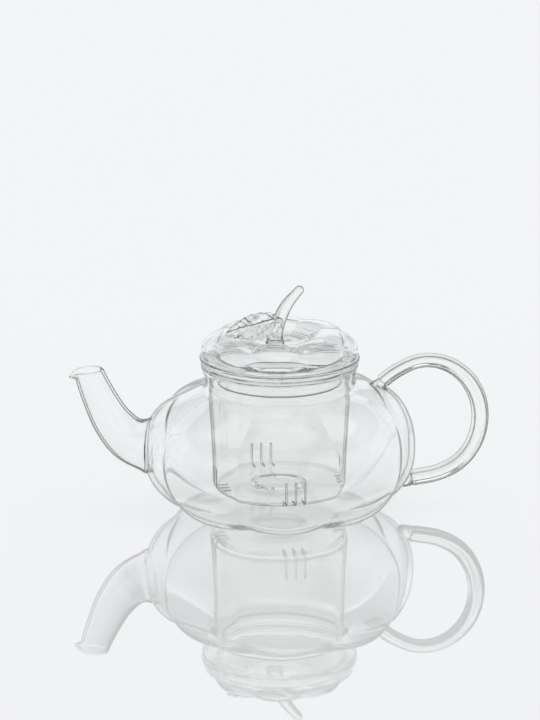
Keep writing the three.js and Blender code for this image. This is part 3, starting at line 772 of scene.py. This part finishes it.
def cup_face(radius, bottom, corner, boss):
    """One face of the cup from the middle of its floor to its lip: boss is a radius, a flank
    and a height, for a raised middle that falls to the floor as half a wave over the flank;
    then comes a quarter circle, and the flared wall."""
    boss_radius, flank, boss_height = boss
    raised = np.stack([
        boss_radius - flank * (1 - rise),
        bottom + boss_height * (1 + np.cos(np.pi * rise)) / 2], axis=1)
    arc = superellipse(
        (radius - corner, bottom + corner), (corner, corner), -90, 0, count=40)
    line = np.concatenate([[[0, bottom + boss_height]], raised, arc])
    return even(with_depth(joined_line(line, flare(radius, LIP_BASE)), 0), FINE)


cup_outside = cup_face(
    INFUSER_RADIUS, INFUSER_BOTTOM, INFUSER_CORNER,
    (HOLLOW_RADIUS, HOLLOW_FLANK, HOLLOW_DEPTH))
cup_inside = cup_face(
    INFUSER_RADIUS - INFUSER_WALL, INFUSER_BOTTOM + INFUSER_FLOOR, INNER_CORNER,
    (PUNT_RADIUS, PUNT_FLANK, PUNT_DEPTH))
lip = np.concatenate([
    [[RIM_RADIUS - INFUSER_LIP / 2, LIP_BASE]],
    superellipse((RIM_RADIUS - INFUSER_LIP / 2, LIP_BASE + INFUSER_LIP / 2),
                 (INFUSER_LIP / 2, INFUSER_LIP / 2), -90, 90, count=30),
    [[cup_inside[-1, 0] + LIP_LAP, LIP_TOP]]])
infuser_section = even(np.concatenate([cup_outside, with_depth(lip, 0), cup_inside[::-1]]), FINE)
infuser = skin("infuser_cup", revolved(
    thinned(softened(infuser_section, 2), INFUSER_STEP), AROUND_INFUSER))


def slot_edges(place):
    """How far the wall is ground beside the slots: 1 within the haze's reach of a slot's
    middle, for the rows of slots across X and across Y, outside the part of the floor that no
    slot reaches and below the slots' upper ends."""
    tree = place.id_data
    turned = add_node(tree, "ShaderNodeVectorRotate", {"rotation_type": "Z_AXIS"}, {
        "Vector": place, "Angle": -SLOT_TURN})
    parts = add_node(tree, "ShaderNodeSeparateXYZ", {}, {"Vector": turned.outputs[0]})
    rows = []
    for axis in ("X", "Y"):
        side = Value(parts.outputs[axis])
        beside = side.with_math("PINGPONG", side, SLOT_PITCH / 2)
        away = side.with_math("ABSOLUTE", side, 0.0)
        rows.append(ramp(beside, SLOT_HAZE, 0.6 * SLOT_HAZE)
                    * ramp(away, 1.5 * SLOT_PITCH, 1.4 * SLOT_PITCH))
    flat = add_node(tree, "ShaderNodeVectorMath", {"operation": "MULTIPLY"}, {
        0: turned.outputs[0], 1: (1, 1, 0)})
    out = Value(add_node(tree, "ShaderNodeVectorMath", {"operation": "LENGTH"}, {
        0: flat.outputs[0]}).outputs["Value"])
    low = ramp(
        Value(parts.outputs["Z"]), INFUSER_BOTTOM + SLOT_HEIGHT,
        INFUSER_BOTTOM + 0.95 * SLOT_HEIGHT)
    past_floor = ramp(out, INFUSER_RADIUS - SLOT_REACH, INFUSER_RADIUS - 0.8 * SLOT_REACH)
    return (rows[0] + rows[1]) * low * past_floor


infuser_glass = clear_glass(
    "infuser_glass", ripple=0.00004, ripple_size=0.03, edge=0.26, tint=INFUSER_TINT,
    ground=slot_edges)
ground_glass = clear_glass(
    "ground_glass", ripple=0.0002, ripple_size=0.002, edge=0.2, tint=(0.5, 0.52, 0.5),
    haze=0.7)
for finish in (infuser_glass, ground_glass):
    infuser.data.materials.append(finish)


def saw_blade(turn, side):
    """A thin round blade, as far in as it has to go for the height and reach of a slot: its
    centre lies level with the cup's underside, and its rim passes through both ends."""
    back = (SLOT_HEIGHT ** 2 - SLOT_REACH ** 2) / (2 * SLOT_REACH)
    radius = back + SLOT_REACH
    rim = np.linspace(0, 2 * np.pi, AROUND_BLADE, endpoint=False)
    out = INFUSER_RADIUS + back + radius * BLADE_SHAPE[:, :1] * np.cos(rim)
    up = INFUSER_BOTTOM + radius * BLADE_SHAPE[:, :1] * np.sin(rim)
    across = side + SLOT_WIDTH / 2 * BLADE_SHAPE[:, 1:] + 0 * rim
    blade = skin("blade", np.stack([
        out * math.cos(turn) - across * math.sin(turn),
        out * math.sin(turn) + across * math.cos(turn), up], axis=2))
    for finish in (infuser_glass, ground_glass):
        blade.data.materials.append(finish)
    blade.data.polygons.foreach_set("material_index", np.ones(len(blade.data.polygons), int))
    return blade


combined(infuser, [
    saw_blade(SLOT_TURN + 2 * math.pi * group / SLOT_GROUPS,
              (i - (SLOTS_IN_GROUP - 1) / 2) * SLOT_PITCH)
    for group in range(SLOT_GROUPS) for i in range(SLOTS_IN_GROUP)])
finished(infuser, infuser_glass, "infuser", "infuser_glass", "infuser")


# ------------------------------------------------------------------ lid skirt
# A short tube that drops loosely into the infuser, turned out at its top into the rounded
# flange that rests on the infuser's lip.
skirt_low, skirt_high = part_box("lid_skirt")
SKIRT_RADIUS = 0.0314
SKIRT_WALL = 0.0013
FLANGE_RADIUS = skirt_high.x
FLANGE_TOP = skirt_high.z
FLANGE_THICKNESS = 0.0028
FLANGE_BASE = FLANGE_TOP - FLANGE_THICKNESS
SKIRT_BASE = skirt_low.z
SKIRT_GROUND = (0.0011, 0.0005)
LOOP_SEAM = FLANGE_TOP - 0.004
SKIRT_STEP = 0.0014
AROUND_SKIRT = 256

flange_edge = superellipse(
    (FLANGE_RADIUS - FLANGE_THICKNESS / 2, FLANGE_BASE + FLANGE_THICKNESS / 2),
    (FLANGE_THICKNESS / 2, FLANGE_THICKNESS / 2), -90, 90, count=40)
inner_skirt = SKIRT_RADIUS - SKIRT_WALL
skirt_loop = np.concatenate([
    [[inner_skirt, LOOP_SEAM], [inner_skirt, SKIRT_BASE], [SKIRT_RADIUS, SKIRT_BASE],
     [SKIRT_RADIUS, FLANGE_BASE]],
    flange_edge, [[inner_skirt, FLANGE_TOP], [inner_skirt, LOOP_SEAM]]])
skirt_section = thinned(softened(even(with_depth(skirt_loop, 0), FINE), 1), SKIRT_STEP)
skirt = skin("lid_collar", revolved(skirt_section[:-1], AROUND_SKIRT), joined=True)


def skirt_end(place):
    """How far the lid's glass is ground: wholly on the end of the skirt, nothing above."""
    return ramp(level_of(place), SKIRT_BASE + SKIRT_GROUND[0], SKIRT_BASE + SKIRT_GROUND[1])


lid_glass = clear_glass(
    "lid_glass", ripple=0.00005, ripple_size=0.02, edge=0.17, ground=skirt_end)
finished(skirt, lid_glass, "lid", "lid_glass", "lid_skirt")


# ------------------------------------------------------------------ lid dome
# The pumpkin: a hollow blown dome with eight lobes, sucked in to a dish in the middle and
# melted down on the flange.  It is open below.
dome_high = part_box("lid_dome")[1]
DOME_WALL = 0.0013
DOME_BASE = FLANGE_TOP + SEAM
DOME_RADIUS = FLANGE_RADIUS - 0.0008
WAIST_RISE = 0.0025
DOME_WAIST = DOME_BASE + WAIST_RISE
DOME_TUCK = 0.0016
DOME_ROUND = 0.0151
DOME_TOP = dome_high.z
DOME_DISH = 0.0062
DISH_MARGIN = 0.0006
DISH_DEPTH_FADE = 0.8
LID_LOBE_DEPTH = 0.0047
LID_TOP_DEPTH = 0.0011
LID_DEPTH_FADES = (0.15, 0.7)
LID_SHARPNESS = 0.75
LID_TURN = math.radians(-6)
DOME_SOFTNESS = 4
DOME_ROUNDING = 2
DOME_STEP = 0.0011
AROUND_DOME = 448
STEM_FOOT_RADIUS = 0.0057
STEM_OFFSET = -0.0023
DISH_RADIUS = STEM_FOOT_RADIUS - STEM_OFFSET + DISH_MARGIN
DISH_LEVEL = DOME_TOP - DOME_DISH

dome_top_radius = DOME_RADIUS - DOME_ROUND
dome_round = superellipse(
    (dome_top_radius, DOME_WAIST), (DOME_ROUND, DOME_TOP - DOME_WAIST), 0, 90, count=120)
dish = np.stack([
    dome_top_radius + (DISH_RADIUS - dome_top_radius) * rise,
    DISH_LEVEL + DOME_DISH * (1 + np.cos(np.pi * rise)) / 2], axis=1)
dome_outside = joined_line(
    np.array([[DOME_RADIUS - DOME_TUCK, DOME_BASE, 0],
              [DOME_RADIUS - DOME_TUCK / 4, DOME_BASE + WAIST_RISE / 2, LID_LOBE_DEPTH / 2],
              [DOME_RADIUS, DOME_WAIST, LID_LOBE_DEPTH]]),
    with_depth(dome_round, LID_LOBE_DEPTH + (LID_TOP_DEPTH - LID_LOBE_DEPTH) * smoothstep(
        np.linspace(0, 1, len(dome_round)), *LID_DEPTH_FADES)),
    with_depth(dish, LID_TOP_DEPTH * (1 - rise) ** DISH_DEPTH_FADE),
    np.array([[DISH_RADIUS, DISH_LEVEL, 0], [0, DISH_LEVEL, 0]]))
dome_outside = softened(even(dome_outside, FINE), DOME_SOFTNESS)
dome_section = walled(dome_outside, DOME_WALL, DOME_ROUNDING, DOME_STEP, inner_first=True)
dome_section[:, 1] = np.maximum(dome_section[:, 1], DOME_BASE)
dome = skin("lid_pumpkin", revolved(dome_section, AROUND_DOME, LID_TURN, LID_SHARPNESS))
finished(dome, lid_glass, "lid", "lid_glass", "lid_dome")


# ------------------------------------------------------------------ stem
# The knob of the lid: a solid horn of glass, drawn out and bent aside while hot, with a
# spread foot melted to the dish and a rounded tip.
STEM_RADIUS = 0.0033
STEM_TIP_RADIUS = 0.0023
STEM_LEAN = 0.0135
STEM_HEIGHT = 0.0284
STEM_BASE = DISH_LEVEL + SEAM
STEM_START = DISH_LEVEL + 0.0003
STEM_SPREAD = 0.25
STEM_TAPERS = (0.45, 1)
ROUND_TIP = 0.93
STEM_STEP = 0.0002
STEM_SOFTNESS = 4
STEM_RINGS = 140
AROUND_STEM = 64
STEM_COURSE = np.array([[0, -0.07], [0, 0], [0.1, 0.3], [0.4, 0.65], [1, 1]])
stem_path = smooth_path(
    np.array([STEM_OFFSET, STEM_START]) + STEM_COURSE * [STEM_LEAN, STEM_HEIGHT],
    STEM_STEP, STEM_SOFTNESS)


def stem_section(share, angle):
    """A circle that tapers from the foot's spread through the stem to the tip, and closes
    there as an ellipse does."""
    foot = (STEM_FOOT_RADIUS - STEM_RADIUS) * np.clip(1 - share / STEM_SPREAD, 0, 1) ** 2
    taper = STEM_RADIUS + (STEM_TIP_RADIUS - STEM_RADIUS) * smoothstep(share, *STEM_TAPERS)
    tip = np.clip(share - ROUND_TIP, 0, None) / (1 - ROUND_TIP)
    radius = (foot + taper) * np.sqrt(np.clip(1 - tip ** 2, 1e-6, 1))
    return radius * np.cos(angle), radius * np.sin(angle)


stem_rings = bent_tube(stem_path, AROUND_STEM, stem_section)
stem_row = first_row(stem_rings[..., 2] - STEM_BASE)
stem = skin("lid_horn", between_rows(
    stem_rings, stem_row, 0 * stem_row + len(stem_rings) - 1, STEM_RINGS))
finished(stem, rod_glass, "lid", "rod_glass", "lid_stem")


# ------------------------------------------------------------------ leaf
# A leaf pressed in a mould with tongs, with a toothed edge, a midrib and side veins, and
# melted to the side of the stem.
LEAF_LENGTH = 0.0305
LEAF_WIDTH = 0.016
LEAF_THICKNESS = 0.0022
LEAF_BELLY = 0.8
LEAF_FULLNESS = 0.75
LEAF_ROUNDNESS = 0.7
LEAF_TEETH = 7
LEAF_TOOTH = 0.0009
LEAF_RIB = 0.0009
VEIN_SLANT = 1.6
VEIN_DEPTH = 0.4
DIMPLE_DEPTH = 0.35
RELIEF_ROOM = 0.0003
LEAF_LEVEL = DOME_TOP + 0.0068
LEAF_ALONG = np.array([-26.5, -8, -4.5])
LEAF_ACROSS = np.array([4, -12.8, -7.6])
LEAF_ROOT = (0.0008, -0.0038)
LEAF_RINGS = 170
AROUND_LEAF = 96
AROUND_ROOM = 48


def leaf_rings(count, around):
    """Rings across the leaf from root to tip: each is a flat oval, as wide as a power of a half
    wave makes the leaf there, plus the teeth of a saw.  Its half thickness is raised at the
    midrib by a bell curve, grooved along slanting side veins by the size of a sine, and
    dimpled by a product of two sines."""
    share = np.linspace(0.004, 0.996, count)[:, None]
    angle = np.linspace(0, 2 * np.pi, around, endpoint=False)[None, :]
    bulge = np.sin(np.pi * share ** LEAF_BELLY) ** LEAF_FULLNESS
    tooth = 1 - (share * LEAF_TEETH) % 1
    half_width = LEAF_WIDTH / 2 * bulge + LEAF_TOOTH * tooth * (1 - share) ** 0.3
    across = half_width * np.cos(angle)
    course = LEAF_TEETH * share + 0.25 * np.sin(11 * share + 200 * across)
    veins = 1 - 2 * np.abs(np.sin(np.pi * (course - VEIN_SLANT * np.abs(across) / LEAF_WIDTH)))
    dimples = np.sin(15 * share + 700 * across) * np.sin(31 * share - 500 * across + 1)
    relief = 1 - VEIN_DEPTH * veins * np.abs(np.cos(angle)) ** 0.5 + DIMPLE_DEPTH * dimples
    rib = LEAF_RIB * np.exp(-(across / LEAF_RIB) ** 2)
    rounded = np.sign(np.sin(angle)) * np.abs(np.sin(angle)) ** LEAF_ROUNDNESS
    ends = np.clip(8 * np.minimum(share, 1 - share), 0, 1) ** 0.5
    half_thick = (LEAF_THICKNESS / 2 - RELIEF_ROOM) * rounded * relief * ends
    return share * LEAF_LENGTH + 0 * angle, across, half_thick + rib * np.sign(rounded) * ends


def stem_room(share, angle):
    """The stem's own section, wider by the seam, to be kept clear of the leaf."""
    return tuple(part * (1 + SEAM / STEM_RADIUS) for part in stem_section(share, angle))


leaf_along = LEAF_ALONG / np.linalg.norm(LEAF_ALONG)
leaf_across = LEAF_ACROSS / np.linalg.norm(LEAF_ACROSS)
leaf_up = np.cross(leaf_along, leaf_across)
root_row = np.argmax(stem_path[:, 1] > LEAF_LEVEL)
leaf_root = np.array([stem_path[root_row, 0] + LEAF_ROOT[0], LEAF_ROOT[1], LEAF_LEVEL])
length, across, up = leaf_rings(LEAF_RINGS, AROUND_LEAF)
leaf = skin("lid_leaf_pressed", (
    leaf_root + length[..., None] * leaf_along + across[..., None] * leaf_across
    + up[..., None] * leaf_up))
combined(leaf, [skin("stem_room", bent_tube(stem_path[::4], AROUND_ROOM, stem_room))], sharp=60)
pressed_glass = clear_glass(
    "pressed_glass", ripple=0.00015, ripple_size=0.004, edge=0.64, tint=(0.985, 0.99, 0.988))
finished(leaf, pressed_glass, "lid", "pressed_glass", "lid_leaf")


# ------------------------------------------------------------------ floor, light and camera
# A pale glossy floor under a plain studio: a bright band round the horizon with narrow dark
# gaps between its panels, a dim ring above it and a large soft light overhead.  Seen through
# the glass the band is dimmer and lower, and fades out slowly upwards.
FLOOR_REACH = 8.0
FLOOR_MIDDLE = 0.01
FLOOR_THICKNESS = 0.02
FLOOR_GAP = 0.00005
FLOOR_GLOW = 0.62
FLOOR_POLISH = 0.02
FLOOR_MIRROR = 0.55
MIRROR_SLANT = (0.35, 0.75)
FLOOR_COLOUR = (0.5, 0.505, 0.51, 1)
MIRROR_COLOUR = (0.99, 0.99, 1, 1)
AROUND_FLOOR = 96
floor_turn = np.linspace(0, 2 * np.pi, AROUND_FLOOR, endpoint=False)
floor_reach = np.array([FLOOR_MIDDLE, FLOOR_REACH, FLOOR_REACH, FLOOR_MIDDLE])[:, None]
floor_level = -np.array([FLOOR_GAP, FLOOR_GAP, FLOOR_THICKNESS, FLOOR_THICKNESS])[:, None]
floor = skin("floor", np.stack([
    floor_reach * np.cos(floor_turn), floor_reach * np.sin(floor_turn),
    floor_level + 0 * floor_turn], axis=2))
floor.data.shade_flat()

glossy_floor = bpy.data.materials.new("glossy_floor")
glossy_floor.use_nodes = True
tree = glossy_floor.node_tree
tree.nodes.clear()
matt = add_node(tree, "ShaderNodeBsdfPrincipled", {}, {
    "Base Color": FLOOR_COLOUR, "Roughness": 1.0, "Specular IOR Level": 0.0,
    "Emission Color": (1, 1, 1, 1), "Emission Strength": FLOOR_GLOW})
gloss = add_node(tree, "ShaderNodeBsdfGlossy", {}, {
    "Color": MIRROR_COLOUR, "Roughness": FLOOR_POLISH})
slant = Value(add_node(tree, "ShaderNodeLayerWeight", {}, {"Blend": 0.5}).outputs["Facing"])
blend = add_node(tree, "ShaderNodeMixShader", {}, {
    0: FLOOR_MIRROR * ramp(slant, *MIRROR_SLANT), 1: matt.outputs[0], 2: gloss.outputs[0]})
add_node(tree, "ShaderNodeOutputMaterial", {}, {"Surface": blend.outputs[0]})
floor.data.materials.append(glossy_floor)

# Heights in the studio run from 0 at the horizon to 1 straight overhead.
PANELS = 8
PANEL_GAP = (-0.85, -0.45)
PANEL_LIGHT = 0.16
BAND_TOP = (0.52, 0.47)
BAND_LIGHT = 0.76
RING_LIGHT = 0.05
OVERHEAD_FROM = (0.84, 0.9)
OVERHEAD_LIGHT = 0.9
LOW_TOP = (0.5, 0.27)
LOW_LIGHT = 0.4
LOW_PANEL_LIGHT = 0.27
LOW_RING_LIGHT = 0.26
STUDIO_COLOUR = (0.975, 0.985, 1, 1)
world = bpy.data.worlds.new("studio")
bpy.context.scene.world = world
world.use_nodes = True
tree = world.node_tree
tree.nodes.clear()
way = add_node(tree, "ShaderNodeTexCoord").outputs["Generated"]
split = add_node(tree, "ShaderNodeSeparateXYZ", {}, {"Vector": way})
height = Value(split.outputs["Z"])
turn = add_node(tree, "ShaderNodeMath", {"operation": "ARCTAN2"}, {
    0: split.outputs["X"], 1: split.outputs["Y"]})
stripe = add_node(tree, "ShaderNodeMath", {"operation": "COSINE"}, {
    0: PANELS * Value(turn.outputs[0])})
panel = ramp(Value(stripe.outputs[0]), *PANEL_GAP)
overhead = ramp(height, *OVERHEAD_FROM)
through = Value(add_node(tree, "ShaderNodeLightPath").outputs["Is Transmission Ray"])
band = RING_LIGHT + ramp(height, *BAND_TOP) * (BAND_LIGHT + PANEL_LIGHT * panel)
low_band = LOW_RING_LIGHT + ramp(height, *LOW_TOP) * (LOW_LIGHT + LOW_PANEL_LIGHT * panel)
brightness = band * (1 - through) + low_band * through + OVERHEAD_LIGHT * overhead
background = add_node(tree, "ShaderNodeBackground", {}, {
    "Color": STUDIO_COLOUR, "Strength": brightness})
add_node(tree, "ShaderNodeOutputWorld", {}, {"Surface": background.outputs[0]})

CAMERA_DISTANCE = 1.4
CAMERA_HEIGHT = 0.5
CAMERA_TURN = math.radians(-3.8)
CAMERA_DIP = 16.77
CAMERA_AIM = math.radians(0.196)
CAMERA_LENS = 147.05
GLASS_BOUNCES = 200
camera_data = bpy.data.cameras.new("camera")
camera_data.lens = CAMERA_LENS
camera_data.sensor_width = 36
camera = bpy.data.objects.new("camera", camera_data)
bpy.context.collection.objects.link(camera)
bpy.context.scene.camera = camera
camera.location = (
    CAMERA_DISTANCE * math.sin(CAMERA_TURN), -CAMERA_DISTANCE * math.cos(CAMERA_TURN),
    CAMERA_HEIGHT)
camera.rotation_euler = (math.radians(90 - CAMERA_DIP), 0, CAMERA_TURN + CAMERA_AIM)
bpy.context.scene.view_settings.view_transform = "Standard"
# Light runs a long way round inside the flat base and the flange before it comes out.
bpy.context.scene.cycles.max_bounces = GLASS_BOUNCES
bpy.context.scene.cycles.glossy_bounces = GLASS_BOUNCES
bpy.context.scene.cycles.transmission_bounces = GLASS_BOUNCES
